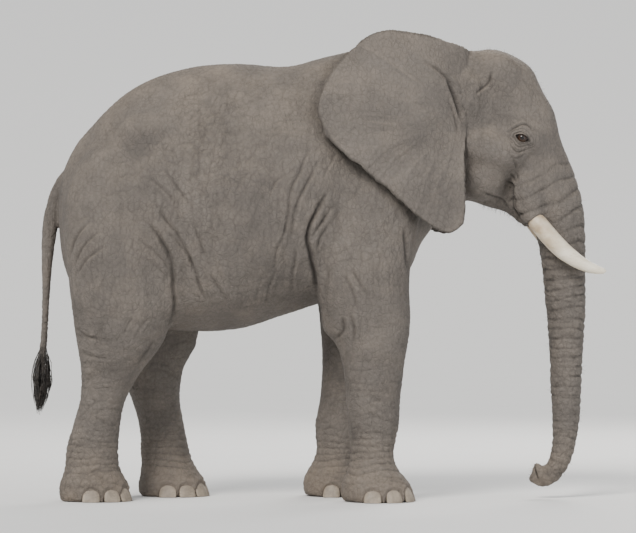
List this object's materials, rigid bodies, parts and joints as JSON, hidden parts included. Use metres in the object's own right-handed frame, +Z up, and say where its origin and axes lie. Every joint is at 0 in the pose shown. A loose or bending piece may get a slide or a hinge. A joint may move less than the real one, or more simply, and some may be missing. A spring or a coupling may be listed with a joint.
{
  "type": "adult African bush elephant",
  "caption": "Life-size still model of an adult African bush elephant standing with its trunk hanging and curled at the tip, as a museum shows it.",
  "frame": {"origin": "centre of the bounding box's bottom face, on the floor between the four feet", "axes": "+X towards the head, +Y to the animal's left, +Z up"},
  "size_m": [3.3746, 1.2287, 2.7431],
  "materials": {
    "hide": "dusty, deeply wrinkled grey-brown skin",
    "ivory": "satin, cream ivory",
    "nail": "matt, worn horn",
    "eye": "wet gloss, dark brown",
    "hair": "coarse black hair"
  },
  "bodies": {
    "root": {"belly": "hide", "chest": "hide", "head": "hide", "hips": "hide", "left_ear": "hide", "left_eye": "eye", "left_forefoot": "hide", "left_forefoot_nail_1": "nail", "left_forefoot_nail_2": "nail", "left_forefoot_nail_3": "nail", "left_forefoot_nail_4": "nail", "left_forefoot_nail_5": "nail", "left_hind_foot": "hide", "left_hind_foot_nail_1": "nail", "left_hind_foot_nail_2": "nail", "left_hind_foot_nail_3": "nail", "left_hind_foot_nail_4": "nail", "left_hind_foot_nail_5": "nail", "left_lower_foreleg": "hide", "left_lower_hind_leg": "hide", "left_tusk": "ivory", "left_upper_foreleg": "hide", "left_upper_hind_leg": "hide", "lower_jaw": "hide", "lower_tail": "hide", "neck": "hide", "right_ear": "hide", "right_eye": "eye", "right_forefoot": "hide", "right_forefoot_nail_1": "nail", "right_forefoot_nail_2": "nail", "right_forefoot_nail_3": "nail", "right_forefoot_nail_4": "nail", "right_forefoot_nail_5": "nail", "right_hind_foot": "hide", "right_hind_foot_nail_1": "nail", "right_hind_foot_nail_2": "nail", "right_hind_foot_nail_3": "nail", "right_hind_foot_nail_4": "nail", "right_hind_foot_nail_5": "nail", "right_lower_foreleg": "hide", "right_lower_hind_leg": "hide", "right_tusk": "ivory", "right_upper_foreleg": "hide", "right_upper_hind_leg": "hide", "tail_tuft": "hair", "trunk_bend": "hide", "trunk_lower": "hide", "trunk_middle": "hide", "trunk_tip": "hide", "trunk_upper": "hide", "upper_tail": "hide"}
  },
  "joints": []
}
